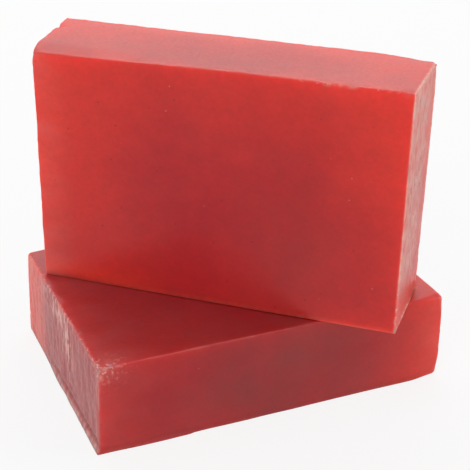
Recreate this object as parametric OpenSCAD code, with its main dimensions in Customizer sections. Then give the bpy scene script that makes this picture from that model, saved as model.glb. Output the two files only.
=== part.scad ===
// A pair of moulded detailing clay bars.
// One lies on a broad face, the other stands on a long edge face across it.

/* [Bar] */
// Length of each bar
bar_length = 90; // [66:1:120]
// Width of each bar, across its broad faces
bar_width = 60; // [40:1:80]
// Thickness of each bar, between its broad faces
bar_thickness = 24; // [14:1:36]

/* [Edges] */
// Radius of the four short edges that run through the thickness
corner_radius = 1; // [1:0.1:4]
// Radius of the edges round both broad faces
rim_radius = 0.5; // [0.2:0.1:0.9]

/* [Stack] */
// Turn of the standing bar, clockwise from above
turn_angle = 40.8; // [0:0.1:90]
// Shift of the standing bar's centre along the lying bar
shift_along = -1.4; // [-8:0.1:8]
// Shift of the standing bar's centre across the lying bar
shift_across = -3.8; // [-8:0.1:8]

/* [Hidden] */
$fn = 64;

// Rectangle about the origin with four round corners
module rounded_rectangle(length, height, radius) {
    square([length - 2 * radius, height], center = true);
    square([length, height - 2 * radius], center = true);
    for (x = [-1, 1], y = [-1, 1])
        translate([x * (length / 2 - radius), y * (height / 2 - radius)])
            circle(radius);
}

// Round post that fills one corner of a bar and carries the rim round it
module corner_post() {
    rotate_extrude()
        intersection() {
            rounded_rectangle(2 * corner_radius, bar_thickness, rim_radius);
            translate([0, -bar_thickness / 2])
                square([corner_radius, bar_thickness]);
        }
}

// One bar about its own centre: length along X, width along Y, thickness along Z
module clay_bar() {
    rotate([90, 0, 90])
        linear_extrude(bar_length - 2 * corner_radius, center = true)
            rounded_rectangle(bar_width, bar_thickness, rim_radius);
    rotate([90, 0, 0])
        linear_extrude(bar_width - 2 * corner_radius, center = true)
            rounded_rectangle(bar_length, bar_thickness, rim_radius);
    for (x = [-1, 1], y = [-1, 1])
        translate([x * (bar_length / 2 - corner_radius), y * (bar_width / 2 - corner_radius), 0])
            corner_post();
}

// Bar that lies on a broad face, with that face's centre at the origin
module lower_bar() {
    color([0.68, 0.2, 0.2])
        translate([0, 0, bar_thickness / 2])
            clay_bar();
}

// Bar that stands on a long edge face, on top of the lying bar
module upper_bar() {
    color([0.75, 0.2, 0.2])
        translate([shift_along, shift_across, bar_thickness + bar_width / 2])
            rotate([0, 0, -turn_angle])
                rotate([90, 0, 0])
                    clay_bar();
}

lower_bar();
upper_bar();
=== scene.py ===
import math

import bpy
import numpy as np
from mathutils import Matrix, Vector


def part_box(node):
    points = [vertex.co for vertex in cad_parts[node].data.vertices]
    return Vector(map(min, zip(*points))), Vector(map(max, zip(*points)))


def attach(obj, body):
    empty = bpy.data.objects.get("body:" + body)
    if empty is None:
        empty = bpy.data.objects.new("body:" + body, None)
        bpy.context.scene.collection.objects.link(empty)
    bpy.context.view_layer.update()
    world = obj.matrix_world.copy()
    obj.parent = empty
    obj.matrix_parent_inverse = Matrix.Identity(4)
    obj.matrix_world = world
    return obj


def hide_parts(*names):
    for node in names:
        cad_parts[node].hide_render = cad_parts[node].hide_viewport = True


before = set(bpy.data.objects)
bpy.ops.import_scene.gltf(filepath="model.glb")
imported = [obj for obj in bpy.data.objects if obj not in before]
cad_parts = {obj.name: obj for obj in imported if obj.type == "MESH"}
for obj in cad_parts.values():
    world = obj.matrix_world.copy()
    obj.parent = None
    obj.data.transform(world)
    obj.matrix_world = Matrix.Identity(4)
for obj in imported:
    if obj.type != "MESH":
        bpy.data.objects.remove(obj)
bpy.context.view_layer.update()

# Lengths on the bars are in millimetres, in each bar's own frame: x along its length, y across
# its broad faces, z through its thickness. The bar's centre is at the origin.
MM = 0.001
LOWER_LOW, LOWER_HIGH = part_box("lower_bar")
UPPER_LOW, UPPER_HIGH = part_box("upper_bar")
SIZE = np.array(LOWER_HIGH - LOWER_LOW) / MM
HALF = SIZE / 2
LENGTH, WIDTH, THICKNESS = SIZE
END, SIDE, FACE = HALF  # how far its ends, long sides and broad faces lie from its centre
UPPER_TURN = 40.8  # degrees, clockwise from above

FINE_STEP = 0.13
COARSE_STEP = 0.6
STEP_GROWTH = 1.08
TILE_GAP = 1.5  # between the faces on the flat map

DEEP = (0.38, 0.004, 0.016, 1)
LIT = (0.75, 0.040, 0.024, 1)
# Painted shade colour, also the colour of the dull specks.
SHADE_AND_SPECK = (0.27, 0.029, 0.028, 1)
CHALK = (0.79, 0.45, 0.40, 1)
SPECK = (0.12, 0.012, 0.012, 1)
PAPER = (0.90, 0.90, 0.90, 1)
WHITE = (1, 1, 1, 1)

FLOOR_WHITENESS = 0.82  # share of plain white in the floor as seen; the rest shows the shadow
FLOOR_SIZE = 6.0  # metres
SKY_STRENGTH = 0.58

# Angles in degrees, lengths in millimetres.
CAMERA_YAW = -23.08
CAMERA_PITCH = 28.29
CAMERA_ROLL = 0.78
CAMERA_DISTANCE = 336.9
CAMERA_AIM = (0.24, 24.95)  # right of and above the row's origin, as the camera sees it
CAMERA_LENS = 97.8
CAMERA_SENSOR = 36
CAMERA_SHIFT = (0.0140, 0.0482)  # shares of the sensor
CAMERA_CLIP = (0.01, 20)  # metres


# ---- noise and masks ----

def lattice(cells, seed):
    """One number from -1 to 1 for each whole-numbered cell, the same in every run."""
    x, y, z = np.moveaxis(cells.astype(np.int64), -1, 0)
    mixed = (x * 374761393 + y * 668265263 + z * 1440662683 + seed * 974634777) & 0xFFFFFFFF
    mixed = ((mixed ^ (mixed >> 13)) * 1274126177) & 0xFFFFFFFF
    return ((mixed ^ (mixed >> 16)) & 0xFFFF) / 32767.5 - 1


def noise(points, pitch, seed):
    """Smooth noise from -1 to 1; pitch is its bumps' size, one number or one for each axis."""
    scaled = points / pitch
    cell = np.floor(scaled)
    part = scaled - cell
    part = part * part * (3 - 2 * part)
    total = np.zeros(len(points))
    for corner in np.ndindex(2, 2, 2):
        share = np.prod(np.where(corner, part, 1 - part), axis=1)
        total += share * lattice(cell + corner, seed)
    return total


def ramp(value, start, end):
    """0 at start and beyond it, 1 at end and beyond it, and smooth between them."""
    part = np.clip((value - start) / (end - start), 0, 1)
    return part * part * (3 - 2 * part)


def around(points, centre, reach):
    """1 at the centre, falling to 0 over the reach, which is one number or one for each axis."""
    return np.exp(-(((points - np.array(centre)) / reach) ** 2).sum(axis=1))


# ---- the bar's surface ----

def grid_lines(half):
    """Where the grid lines cross one axis: close together by the edges and wider in the middle."""
    steps = [FINE_STEP]
    while sum(steps) < half:
        steps.append(min(steps[-1] * STEP_GROWTH, COARSE_STEP))
    inset = np.concatenate([[0], np.cumsum(steps)])
    inset *= half / inset[-1]
    return np.concatenate([inset - half, half - inset[-2::-1]])


def tile_origin(axis, side):
    """Where each of the six faces lies on the flat map, in millimetres."""
    across = {2: 0, 1: LENGTH + TILE_GAP, 0: 0}[axis]
    up = {2: 0, 1: 0, 0: 2 * (WIDTH + TILE_GAP)}[axis]
    if side < 0:
        across += {2: 0, 1: THICKNESS + TILE_GAP, 0: WIDTH + TILE_GAP}[axis]
        up += {2: WIDTH + TILE_GAP, 1: 0, 0: 0}[axis]
    return np.array([across + TILE_GAP, up + TILE_GAP])


def block_surface():
    """Six welded grids round a plain block: its points, its quads and the quads' flat map."""
    lines = [grid_lines(half) for half in HALF]
    counts = np.array([len(line) for line in lines])
    keys, flat = [], []
    for axis in range(3):
        first, second = (axis + 1) % 3, (axis + 2) % 3
        for side in (-1, 1):
            a, b = np.meshgrid(range(counts[first] - 1), range(counts[second] - 1), indexing="ij")
            for step_a, step_b in [(0, 0), (1, 0), (1, 1), (0, 1)][::side]:
                spot = np.zeros((a.size, 3), int)
                spot[:, first] = a.ravel() + step_a
                spot[:, second] = b.ravel() + step_b
                spot[:, axis] = (counts[axis] - 1) * (side > 0)
                keys.append(spot @ [1, counts[0], counts[0] * counts[1]])
                across = lines[first][spot[:, first]] * side + HALF[first]
                up = lines[second][spot[:, second]] + HALF[second]
                flat.append(np.stack([across, up], axis=1) + tile_origin(axis, side))
    quads, maps = [], []
    for start in range(0, len(keys), 4):
        quads.append(np.stack(keys[start:start + 4], axis=1))
        maps.append(np.stack(flat[start:start + 4], axis=1))
    used, corners = np.unique(np.concatenate(quads), return_inverse=True)
    spots = [used % counts[0], used // counts[0] % counts[1], used // (counts[0] * counts[1])]
    points = np.stack([line[spot] for line, spot in zip(lines, spots)], axis=1)
    flat_map = np.concatenate(maps)
    return points, corners.reshape(-1, 4), flat_map / (flat_map.max() + TILE_GAP)


def round_edges(points, radius):
    """Rounds the block's edges, each point to its own radius, and gives each point's way out."""
    inner = HALF - radius[:, None]
    core = np.clip(points, -inner, inner)
    reach = points - core
    outward = reach / np.linalg.norm(reach, axis=1)[:, None]
    return core + radius[:, None] * outward, outward


def edge_distance(points):
    """How far each point of the plain block's surface lies from the nearest edge."""
    return np.sort(HALF - np.abs(points), axis=1)[:, 1]


def pull_corners(points, pulls):
    """Moves the block's corners, and the rest with them; pulls maps a corner's signs to its move."""
    share = (points / HALF + 1) / 2
    moved = np.zeros_like(points)
    for signs, move in pulls.items():
        weight = np.prod(np.where(np.array(signs) > 0, share, 1 - share), axis=1)
        moved += weight[:, None] * np.array(move)
    return points + moved


# ---- what each bar's surface has been through ----

# Nicks knocked out of an edge: centre, reach and depth. A negative depth is a bead that stands out.
LOWER_NICKS = [
    ((-42, -30, 12), (1.6, 1.0, 1.0), 0.15),
    ((-45, -14, 12), (1.0, 1.6, 0.8), 0.30),
    ((-45, 3, 12), (1.0, 2.4, 1.0), 0.40),
    ((-45, 12, 12), (1.0, 1.5, 0.8), 0.30),
]
UPPER_NICKS = [
    ((-45, 30, -5.4), (2.0, 2.0, 1.1), 0.65),
    ((-45, 30, 2.8), (2.0, 2.0, 1.0), 0.10),
    ((-45, 30, 12), (1.6, 1.6, 1.2), 0.50),
    ((43.5, 30, 12), (1.2, 1.2, 1.2), 0.35),
    ((42, 30, -12), (6, 2.5, 3), 0.40),
    ((45, 10, 12), (0.6, 5.0, 0.6), 0.20),
    ((45, -17, 12), (0.6, 3.0, 0.6), 0.15),
    ((45, 28.7, -12), (0.6, 0.6, 0.6), -0.65),
]
# Small chips that show pale clay, in the same form.
LOWER_CHIPS = [
    ((-43.2, -30, 11.2), (0.7, 0.5, 0.5), 0.20),
    ((-41.8, -29.7, 12), (0.8, 0.5, 0.4), 0.16),
    ((-44.3, -30, 9.2), (0.5, 0.5, 0.7), 0.25),
    ((-40.3, -30, 11.6), (0.5, 0.5, 0.4), 0.22),
    ((-45, -28.5, 12), (0.4, 0.7, 0.4), 0.25),
    ((-45, -9.0, 12), (0.4, 0.9, 0.4), 0.22),
    ((-45, 6.5, 12), (0.4, 1.1, 0.4), 0.25),
]
UPPER_CHIPS = [
    ((25.5, 30, 12), (0.8, 0.6, 0.5), 0.35),
    ((28.5, 30, 12), (0.5, 0.5, 0.4), 0.30),
    ((31, 30, 12), (0.9, 0.6, 0.5), 0.35),
    ((45, -26.6, 12), (0.4, 0.7, 0.4), 0.35),
    ((45, -29.2, 12), (0.4, 0.5, 0.4), 0.30),
    ((45, -30, 3.6), (0.5, 0.5, 0.8), 0.35),
    ((45, 12.0, 12), (0.4, 0.8, 0.4), 0.25),
]

# How far each corner of a slightly crooked block has moved, by the signs of its x, y and z.
LOWER_CORNERS = {
    (-1, -1, 1): (0.7, 0.0, -0.3),
    (1, -1, 1): (0.7, 0.0, 0.0),
    (1, -1, -1): (1.1, 0.3, 0.0),
    (-1, 1, 1): (0.2, 0.0, 0.0),
    (-1, 1, -1): (0.0, 0.8, 0.0),
}
UPPER_CORNERS = {
    (-1, 1, 1): (-0.2, -0.2, 0.0),
    (-1, -1, 1): (-0.1, 0.0, 0.0),
    (1, 1, 1): (0.0, 0.3, 0.0),
    (1, -1, 1): (-0.2, 0.2, 0.0),
    (1, 1, -1): (0.5, 0.0, 0.0),
    (1, -1, -1): (0.2, 0.0, 0.0),
    (-1, 1, -1): (-2.1, -0.30, 0.0),
}


def nicked(points, nicks):
    """Depth of the nicks at each point."""
    return sum(depth * around(points, centre, reach) for centre, reach, depth in nicks)


def edge_glow(block):
    """How much light soaks in through the neighbouring face: 1 at an edge, fading inwards."""
    return np.exp(-edge_distance(block) / 5)


def torn(block, pitch, seed):
    """Relief of a cut end, where the knife dragged the clay: flat at the end's own edges."""
    drag = 0.14 * noise(block, pitch, seed) + 0.09 * noise(block, 1.1, seed + 1)
    return ramp(abs(block[:, 0]), END - 0.6, END) * drag * ramp(edge_distance(block), 0.2, 1.6)


def upper_outline_light(points):
    """Painted light on the lower bar's top along the upper bar's outline, where the crease lies in
    shade: most at the outline, 0 just outside.
    """
    offset = (UPPER_LOW + UPPER_HIGH) / 2 - (LOWER_LOW + LOWER_HIGH) / 2
    turn = math.radians(UPPER_TURN)
    x, y = points[:, 0] - offset.x / MM, points[:, 1] - offset.y / MM
    along = abs(x * math.cos(turn) - y * math.sin(turn)) - END
    across = abs(x * math.sin(turn) + y * math.cos(turn)) - FACE
    outside = np.maximum(along, across)
    return ramp(outside, 1.2, 0) * (1 - 0.75 * ramp(outside, -0.3, -5))


def lower_bar_shape(block):
    """The bar that lies flat: a soft right end, a flared foot on the left, one crumbled corner."""
    x, y, z = block.T
    height = z + FACE
    edge = edge_distance(block)
    left_end, right_end = ramp(x, -END + 0.8, -END), ramp(x, END - 0.8, END)
    top_face = ramp(z, FACE - 0.8, FACE)
    far_corner = around(block, (-END, SIDE, FACE), (6, 6, 6))
    crumbled = around(block, (-END, -SIDE, FACE), (5.5, 4, 4))
    ragged = ramp(edge, 1.5, 0.1) * ramp(z, 10, 11) * ramp(x, -END + 1.5, -END)
    chips = nicked(block, LOWER_CHIPS)

    radius = 0.45 + 0.10 * noise(block, 6, 20) + 0.7 * far_corner - 0.15 * ramp(height, 3, 0)
    radius += ramp(x, END - 8, END) * (0.3 + 1.1 * ramp(abs(z), 6, 11))
    points, outward = round_edges(block, radius)

    relief = 0.10 * noise(block, 15, 1) + 0.03 * noise(block, 4, 2) - 0.05
    relief *= 1 - 0.85 * top_face * ramp(edge, 1, 4)
    wear = 0.07 * noise(block, 3.1, 3) + 0.05 * noise(block, 1.1, 4) - 0.03
    relief += ramp(edge, 2.2, 0.2) * wear
    relief += torn(block, (1, 1.6, 5.5), 21)
    relief += ragged * (0.22 * noise(block, 1.8, 23) + 0.14 * noise(block, 0.7, 25))
    relief += crumbled * (0.30 * noise(block, 1.6, 5) + 0.30 * noise(block, 0.7, 6) - 0.25)
    relief -= nicked(block, LOWER_NICKS) + chips
    relief *= ramp(height, 0, 0.4)
    points += outward * relief[:, None]

    foot = ramp(height, 2.3, 0.6) * ramp(y, 16, 2)
    groove = around(height[:, None], 2.9, 0.55) * ramp(y, 12, 0)
    spread = 0.40 * foot * (1 + 0.4 * noise(block, 4, 7)) - 0.30 * groove
    points[:, 0] -= spread * ramp(x, -END + 2, -END)
    lip = ramp(height, 1.6, 0.4) * (0.12 + 0.26 * ramp(x, -21, -23) - 0.20 * ramp(x, -32, -44))
    points[:, 1] -= lip * ramp(y, -SIDE + 2, -SIDE) * (1 + 0.4 * noise(block, 4, 8))
    points = pull_corners(points, LOWER_CORNERS)
    points[:, 2] = np.clip(points[:, 2], -FACE, FACE)

    sides = 1 - top_face
    uncut = 1 - left_end
    broken = 0.5 + 0.5 * noise(block, 2.5, 24)
    outline_light = upper_outline_light(points)
    masks = {
        "glow": 0.14 * sides * uncut
        + 0.18 * edge_glow(block) * uncut
        + 0.70 * ramp(x, 16, END) * ramp(y, 15, -SIDE)  # front right
        + 0.15 * top_face * ramp(x, 28, END)
        + 0.14 * ramp(x, -20, -END) * ramp(y, 0, -SIDE) * uncut  # front left
        + 0.12 * top_face * ramp(x + y, -20, -45)
        + 1.00 * left_end * ramp(y, 10, 22)
        # painted light: a lighter strip along the bottom edge
        + 0.30 * ramp(height, 0.9, 0.2) * uncut
        # painted light on the top along the upper bar's outline, lifting the crease's shade
        + 0.28 * top_face * outline_light,
        "painted_shade": 0.74 * around(block, (0, -SIDE, -2), (26, 12, 14))  # painted shade in the middle of the front, under the upper bar's overhang
        + 0.22 * left_end * ramp(y, 18, 8)
        # painted shade on the top, where the upper bar stands over it, less along its outline
        + 0.28 * top_face * (1 - ramp(x, -30, -END)) * (1 - 0.8 * outline_light),
        # haze: a pale film, with painted sheen on the left end and painted rim light along the edges
        "haze_and_sheen": 0.02 * sides
        + 0.01 * top_face
        + 0.05 * left_end * ramp(y, 30, 10)
        + 0.17 * left_end * ramp(y, 10, 22)
        + 0.10 * left_end * ramp(y, -24, -28)
        + 0.05 * ramp(edge, 1.2, 0.2) * broken
        + 0.12 * ramp(edge, 0.6, 0.1) * ramp(z, 10, 11.5) * ramp(x, 2, -8) * broken
        + 0.07 * ramp(x, 34, END) * sides
        + 0.10 * crumbled
        + 0.05 * ramp(x, -26, -END) * uncut
        + 0.02 * top_face * ramp(x, 0, -20),
        "chalk": 0.27 * left_end * ramp(y, 22, 14) * ramp(y, -24, -14) * (0.4 + 0.6 * ramp(z, -9, 6))
        + 0.90 * left_end * ramp(height, 2.4, 1.2) * ramp(y, 16, 6)  # the foot
        + 0.35 * right_end * ramp(edge, 0.5, 5),
        "scored": 1.0 * left_end * around(block, (-END, -6, 4), (9, 4, 8))
        + 0.9 * left_end * around(block, (-END, 6, 9), (9, 10, 3))
        + 0.2 * left_end,
        "crumb": crumbled + 0.6 * ragged,
        "fleck": 2.2 * chips,
    }
    return points, masks, block * (1, 1, 0.18)


def upper_bar_shape(block):
    """The bar that stands on edge: +z is its front and +y its top."""
    x, y, z = block.T
    height = y + SIDE
    edge = edge_distance(block)
    left_part, right_part = ramp(x, 10, -END), ramp(x, 8, END)
    left_end, right_end = ramp(x, -END + 0.6, -END), ramp(x, END - 0.6, END)
    top_face = ramp(y, SIDE - 0.6, SIDE)
    far_corner = around(block, (END, SIDE, -FACE), (5, 4, 4))
    chips = nicked(block, UPPER_CHIPS)

    radius = 0.30 + 0.06 * noise(block, 6, 30) + 1.1 * far_corner - 0.20 * ramp(height, 4, 0)
    points, outward = round_edges(block, radius)

    relief = 0.12 * noise(block, 17, 11) + 0.03 * noise(block, 4, 12) - 0.04
    wear = 0.08 * noise(block, 2.7, 13) + 0.05 * noise(block, 1.0, 14) - 0.03
    relief += ramp(edge, 2.0, 0.2) * wear
    relief += torn(block, (1, 3.8, 2.6), 31)
    relief -= nicked(block, UPPER_NICKS) + chips
    relief *= ramp(height, 0, 0.4)
    points += outward * relief[:, None]
    points[:, 1] -= 0.95 * left_part * ramp(z, 6.5, 12.5) * ramp(y, 0, SIDE)  # sunken front edge
    points = pull_corners(points, UPPER_CORNERS)
    points[:, 1] = np.maximum(points[:, 1], -SIDE)

    # Painted light: the edge glow and rim film fade towards the bottom, where the bar rests in shade.
    lighter_upwards = ramp(height, 0, 20)
    sides = 1 - top_face
    # Painted backlight on the back rim of the top face.
    backlit_rim = top_face * ramp(z, -5, -FACE)
    front_top_right = ramp(edge, 0.9, 0.2) * ramp(x + z, 28, 36) * ramp(y, 29, 29.8)
    front_foot_right = ramp(edge, 0.6, 0.2) * ramp(z, 11, 11.8) * ramp(y, -29, -29.8) * ramp(x, 26, 34)
    masks = {
        "glow": 0.25
        + 0.28 * edge_glow(block) * (0.3 + 0.7 * lighter_upwards) * (1 - 0.5 * left_part)
        + 0.48 * ramp(x, -8, -42) * (0.6 + 0.4 * lighter_upwards)
        + 0.42 * right_part * (0.45 + 0.55 * ramp(y, -15, 28))
        # painted light: lighter towards the top
        + 0.24 * ramp(y, -6, 26)
        + 0.15 * right_end
        # painted light, lighter towards the foot of the right end
        + 0.5 * right_end * ramp(height, 12, 2)
        + 0.55 * around(block, (-40, -SIDE, FACE), (16, 4, 4))  # painted light over the contact crease, front, bottom left
        + 0.12 * ramp(height, 8, 0) * ramp(z, 10, FACE)
        # painted light along the contact crease at the foot
        + 0.40 * ramp(height, 1.6, 0.2)
        + 0.12 * top_face
        + 0.35 * backlit_rim * (0.4 + 0.6 * left_part),
        # painted shade: on the front, low and right of the middle, and on the front half of the top
        "painted_shade": 0.30 * around(block, (20, -14, FACE), (11, 20, 12))
        + 0.30 * top_face * ramp(z, -7, 9),
        # haze: a pale film, with painted sheen and rim light on the top, the edges, the left part and
        # the right end
        "haze_and_sheen": 0.01
        + 0.02 * top_face
        + 0.03 * backlit_rim
        + 0.02 * ramp(edge, 1.0, 0.2) * lighter_upwards
        + 0.09 * ramp(x, -34, -END) * sides
        + 0.04 * left_end
        + right_end * (0.13 + 0.08 * ramp(y, 0, SIDE)) * (0.5 + 0.5 * ramp(height, 3, 12))
        + 0.20 * ramp(edge, 0.7, 0.2) * ramp(x, END - 1, END - 0.1)
        + 0.10 * front_foot_right
        + 0.22 * right_end * around(z[:, None], -FACE + 1.3, 0.4),
        "chalk": right_end * (0.86 * ramp(height, 7, 16) + 0.06) * (0.30 + 0.70 * ramp(z, -8, -3))
        + 0.35 * left_end * ramp(edge, 0.5, 5),
        "scored": right_end * around(block, (END, 5, 3), (9, 4, 8)),
        "crumb": right_end * ramp(edge, 2.5, 0.5) + 0.5 * front_top_right,
        "fleck": 2.4 * chips,
    }
    return points, masks, block * (1, 0.5, 1)


def make_bar(name, shape, placing, material):
    """One bar as a mesh object.

    Its masks steer the clay: glow is painted light soaking in, dull is painted shade, haze is a pale
    film with painted sheen, chalk is dry cut clay, scored is knife marks, crumb is loose crumbs, fleck
    is bare chips.
    """
    block, quads, flat_map = block_surface()
    points, masks, comb = shape(block)
    mesh = bpy.data.meshes.new(name)
    mesh.from_pydata((points * MM).tolist(), [], quads.tolist())
    mesh.transform(placing)
    mesh.shade_smooth()
    layer = mesh.uv_layers.new(name="OFBake")
    layer.data.foreach_set("uv", flat_map.astype(np.float32).ravel())
    for label, vectors in (("place", block), ("comb", comb)):
        values = mesh.attributes.new(label, "FLOAT_VECTOR", "POINT")
        values.data.foreach_set("vector", vectors.astype(np.float32).ravel())
    for label, mask in masks.items():
        values = mesh.attributes.new(label, "FLOAT", "POINT")
        values.data.foreach_set("value", np.clip(mask, 0, 1).astype(np.float32))
    mesh.materials.append(material)
    bar = bpy.data.objects.new(name, mesh)
    bpy.context.scene.collection.objects.link(bar)
    return bar


# ---- materials ----

def node(tree, kind, inputs=None, **settings):
    """A new node with these settings; each input is a value or the socket that feeds it."""
    made = tree.nodes.new(kind)
    for key, value in settings.items():
        setattr(made, key, value)
    for key, value in (inputs or {}).items():
        if isinstance(value, bpy.types.NodeSocket):
            tree.links.new(value, made.inputs[key])
        else:
            made.inputs[key].default_value = value
    return made


def math_node(tree, operation, first, second):
    return node(tree, "ShaderNodeMath", {0: first, 1: second}, operation=operation).outputs[0]


def mix_colour(tree, share, first, second, blend="MIX"):
    inputs = {0: share, 6: first, 7: second}
    settings = {"data_type": "RGBA", "blend_type": blend, "clamp_factor": True}
    return node(tree, "ShaderNodeMix", inputs, **settings).outputs[2]


def new_tree(holder):
    """The holder's empty node tree; the holder is a material or a world."""
    holder.use_nodes = True
    holder.node_tree.nodes.clear()
    return holder.node_tree


def attribute(tree, name, output="Fac"):
    return node(tree, "ShaderNodeAttribute", attribute_name=name).outputs[output]


def grain(tree, place, scale, detail=2.0, stretch=(1, 1, 1)):
    """Noise from 0 to 1 over the bar; scale is in bumps per millimetre, before the stretch."""
    stretched = node(tree, "ShaderNodeMapping", {"Vector": place, "Scale": stretch}).outputs[0]
    return node(
        tree, "ShaderNodeTexNoise", {"Vector": stretched, "Scale": scale, "Detail": detail}
    ).outputs["Fac"]


def remap(tree, value, start, end, low, high):
    """Takes start to low and end to high, and stays between them."""
    inputs = {"Value": value, 1: start, 2: end, 3: low, 4: high}
    return node(tree, "ShaderNodeMapRange", inputs, clamp=True).outputs[0]


def specks(tree, place, scale, reach, strength):
    """Small round dots, one in most cells of a grid of the given scale."""
    cells = node(tree, "ShaderNodeTexVoronoi", {"Vector": place, "Scale": scale, "Randomness": 1.0})
    return remap(tree, cells.outputs["Distance"], 0.6 * reach, reach, strength, 0.0)


def wet_clay(tree, place):
    """The colour of sound clay with painted light and shade: deep inside a face, orange where light
    soaks in, darker where painted shade lies, and mottled.
    """
    patch = remap(tree, grain(tree, place, 0.06, 4), 0.3, 0.7, -0.10, 0.10)
    glow = math_node(tree, "ADD", attribute(tree, "glow"), patch)
    colour = mix_colour(tree, glow, DEEP, LIT)
    # Painted shade: the dull mask darkens the clay where shade falls.
    cloud = remap(tree, grain(tree, place, 0.08, 3, (1, 0.6, 1)), 0.35, 0.65, 0.6, 1.2)
    painted_shade = math_node(tree, "MULTIPLY", attribute(tree, "painted_shade"), cloud)
    colour = mix_colour(tree, painted_shade, colour, SHADE_AND_SPECK)
    mottle = math_node(tree, "ADD", grain(tree, place, 0.28, 4), grain(tree, place, 0.9, 4))
    shade = remap(tree, mottle, 0.75, 1.25, 0.94, 1.06)
    tone = node(tree, "ShaderNodeCombineColor", {0: shade, 1: shade, 2: shade}).outputs[0]
    return mix_colour(tree, 1.0, colour, tone, "MULTIPLY")


def clay_material():
    """Translucent red putty, dry and pale where it was cut, scored or chipped, with a pale film and
    painted sheen.
    """
    material = bpy.data.materials.new("clay")
    tree = new_tree(material)
    place, comb = (attribute(tree, name, "Vector") for name in ("place", "comb"))
    masks = ("haze_and_sheen", "chalk", "scored", "crumb", "fleck")
    haze_and_sheen, chalk, scored, crumb, fleck = (attribute(tree, name) for name in masks)

    fine = grain(tree, place, 1.3, 5)
    crust = grain(tree, comb, 0.6, 6)
    strokes = grain(tree, comb, 1.3, 2)
    smear = remap(tree, grain(tree, place, 0.12, 4, (0.5, 1, 1)), 0.35, 0.65, 0.6, 1.5)
    flakes = remap(tree, grain(tree, place, 1.0, 2), 0.55, 0.63, 0.0, 0.8)
    raised = remap(tree, strokes, 0.52, 0.60, 0.0, 0.9)
    sunken = remap(tree, strokes, 0.45, 0.37, 0.0, 0.6)

    dry = math_node(tree, "MULTIPLY", chalk, remap(tree, crust, 0.36, 0.66, 0.22, 0.78))
    dry = math_node(tree, "MAXIMUM", dry, math_node(tree, "MULTIPLY", crumb, flakes))
    dry = math_node(tree, "MAXIMUM", dry, math_node(tree, "MULTIPLY", scored, raised))
    dry = math_node(tree, "MAXIMUM", dry, fleck)
    # The haze mask adds a pale film together with painted sheen and rim light.
    pale = math_node(tree, "ADD", dry, math_node(tree, "MULTIPLY", haze_and_sheen, smear))

    colour = mix_colour(tree, pale, wet_clay(tree, place), CHALK)
    colour = mix_colour(tree, math_node(tree, "MULTIPLY", scored, sunken), colour, DEEP)
    for scale, reach, strength, dot in (
        (0.19, 0.065, 0.40, SPECK),
        (0.31, 0.080, 0.30, SHADE_AND_SPECK),
        (0.13, 0.035, 0.30, CHALK),
    ):
        colour = mix_colour(tree, specks(tree, place, scale, reach, strength), colour, dot)

    roughness = remap(tree, math_node(tree, "ADD", fine, pale), 0.3, 1.3, 0.30, 0.62)
    height = math_node(tree, "ADD", fine, math_node(tree, "MULTIPLY", crust, chalk))
    height = math_node(tree, "ADD", height, math_node(tree, "MULTIPLY", strokes, scored))
    bump = node(tree, "ShaderNodeBump", {"Height": height, "Strength": 0.15, "Distance": 0.0001})
    shader = node(tree, "ShaderNodeBsdfPrincipled", {
        "Base Color": colour,
        "Roughness": roughness,
        "IOR": 1.4,
        "Subsurface Weight": 1.0,
        "Subsurface Radius": (1.0, 0.12, 0.08),
        "Subsurface Scale": 0.006,
        "Normal": bump.outputs[0],
    })
    node(tree, "ShaderNodeOutputMaterial", {"Surface": shader.outputs[0]})
    return material


def seen_directly(tree):
    """1 for camera, glossy and transmission rays, which see the white background."""
    path = node(tree, "ShaderNodeLightPath")
    either = math_node(tree, "MAXIMUM", path.outputs["Is Camera Ray"], path.outputs["Is Glossy Ray"])
    return math_node(tree, "MAXIMUM", either, path.outputs["Is Transmission Ray"])


def floor_material():
    """Matte white paper that reads as the white background and still takes a soft shadow."""
    material = bpy.data.materials.new("paper")
    tree = new_tree(material)
    paper = node(tree, "ShaderNodeBsdfDiffuse", {"Color": PAPER}).outputs[0]
    white = node(tree, "ShaderNodeEmission", {"Color": WHITE, "Strength": 1.0}).outputs[0]
    share = math_node(tree, "MULTIPLY", seen_directly(tree), FLOOR_WHITENESS)
    mixed = node(tree, "ShaderNodeMixShader", {0: share, 1: paper, 2: white}).outputs[0]
    node(tree, "ShaderNodeOutputMaterial", {"Surface": mixed})
    return material


# ---- the studio ----

def make_floor():
    reach = FLOOR_SIZE / 2
    mesh = bpy.data.meshes.new("floor")
    corners = [(-reach, -reach, 0), (reach, -reach, 0), (reach, reach, 0), (-reach, reach, 0)]
    mesh.from_pydata(corners, [], [(0, 1, 2, 3)])
    mesh.materials.append(floor_material())
    floor = bpy.data.objects.new("floor", mesh)
    bpy.context.scene.collection.objects.link(floor)


def make_world():
    world = bpy.data.worlds.new("studio")
    bpy.context.scene.world = world
    tree = new_tree(world)
    strength = remap(tree, seen_directly(tree), 0, 1, SKY_STRENGTH, 1.0)
    sky = node(tree, "ShaderNodeBackground", {"Color": WHITE, "Strength": strength})
    node(tree, "ShaderNodeOutputWorld", {"Surface": sky.outputs[0]})


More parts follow.
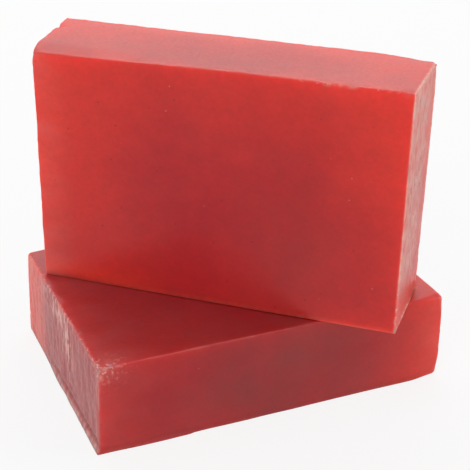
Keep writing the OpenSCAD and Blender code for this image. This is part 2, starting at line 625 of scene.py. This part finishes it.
def softbox(name, azimuth, elevation, distance, side, brightness):
    """A square lamp that faces the object; lengths in metres, and brightness 1 is pure white."""
    turn, rise = math.radians(azimuth), math.radians(elevation)
    away = Vector((math.sin(turn) * math.cos(rise), -math.cos(turn) * math.cos(rise), math.sin(rise)))
    lamp = bpy.data.lights.new(name, "AREA")
    lamp.shape = "SQUARE"
    lamp.size = side
    lamp.energy = brightness * math.pi * side * side
    holder = bpy.data.objects.new(name, lamp)
    holder.location = Vector((0, 0, UPPER_HIGH.z / 2)) + away * distance
    holder.rotation_euler = away.to_track_quat("Z", "Y").to_euler()
    bpy.context.scene.collection.objects.link(holder)


def make_camera():
    yaw, pitch, roll = (math.radians(a) for a in (CAMERA_YAW, CAMERA_PITCH, CAMERA_ROLL))
    level = Vector((-math.sin(yaw), math.cos(yaw), 0))
    ahead = level * math.cos(pitch) - Vector((0, 0, math.sin(pitch)))
    right = Vector((math.cos(yaw), math.sin(yaw), 0))
    up = right.cross(ahead)
    right, up = (
        math.cos(roll) * right + math.sin(roll) * up,
        math.cos(roll) * up - math.sin(roll) * right,
    )
    place = (right * CAMERA_AIM[0] + up * CAMERA_AIM[1] - ahead * CAMERA_DISTANCE) * MM
    data = bpy.data.cameras.new("camera")
    data.lens = CAMERA_LENS
    data.sensor_width = CAMERA_SENSOR
    data.shift_x, data.shift_y = CAMERA_SHIFT
    data.clip_start, data.clip_end = CAMERA_CLIP
    camera = bpy.data.objects.new("camera", data)
    turned = Matrix((right, up, -ahead)).transposed().to_4x4()
    camera.matrix_world = Matrix.Translation(place) @ turned
    bpy.context.scene.collection.objects.link(camera)
    bpy.context.scene.camera = camera


lower_placing = Matrix.Translation((LOWER_LOW + LOWER_HIGH) / 2)
upper_placing = (
    Matrix.Translation((UPPER_LOW + UPPER_HIGH) / 2)
    @ Matrix.Rotation(math.radians(-UPPER_TURN), 4, "Z")
    @ Matrix.Rotation(math.radians(90), 4, "X")
)
clay = clay_material()
for body, shape, placing in (
    ("lower_bar", lower_bar_shape, lower_placing),
    ("upper_bar", upper_bar_shape, upper_placing),
):
    bar = make_bar(body + "_clay", shape, placing, clay)
    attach(bar, body)
    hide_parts(body)

make_floor()
make_world()
softbox("back_light", azimuth=165, elevation=48, distance=0.7, side=0.6, brightness=1.4)
softbox("front_light", azimuth=-42, elevation=26, distance=0.9, side=0.6, brightness=1.85)
softbox("side_light", azimuth=70, elevation=30, distance=0.9, side=0.5, brightness=1.3)
make_camera()
bpy.context.scene.view_settings.view_transform = "Standard"
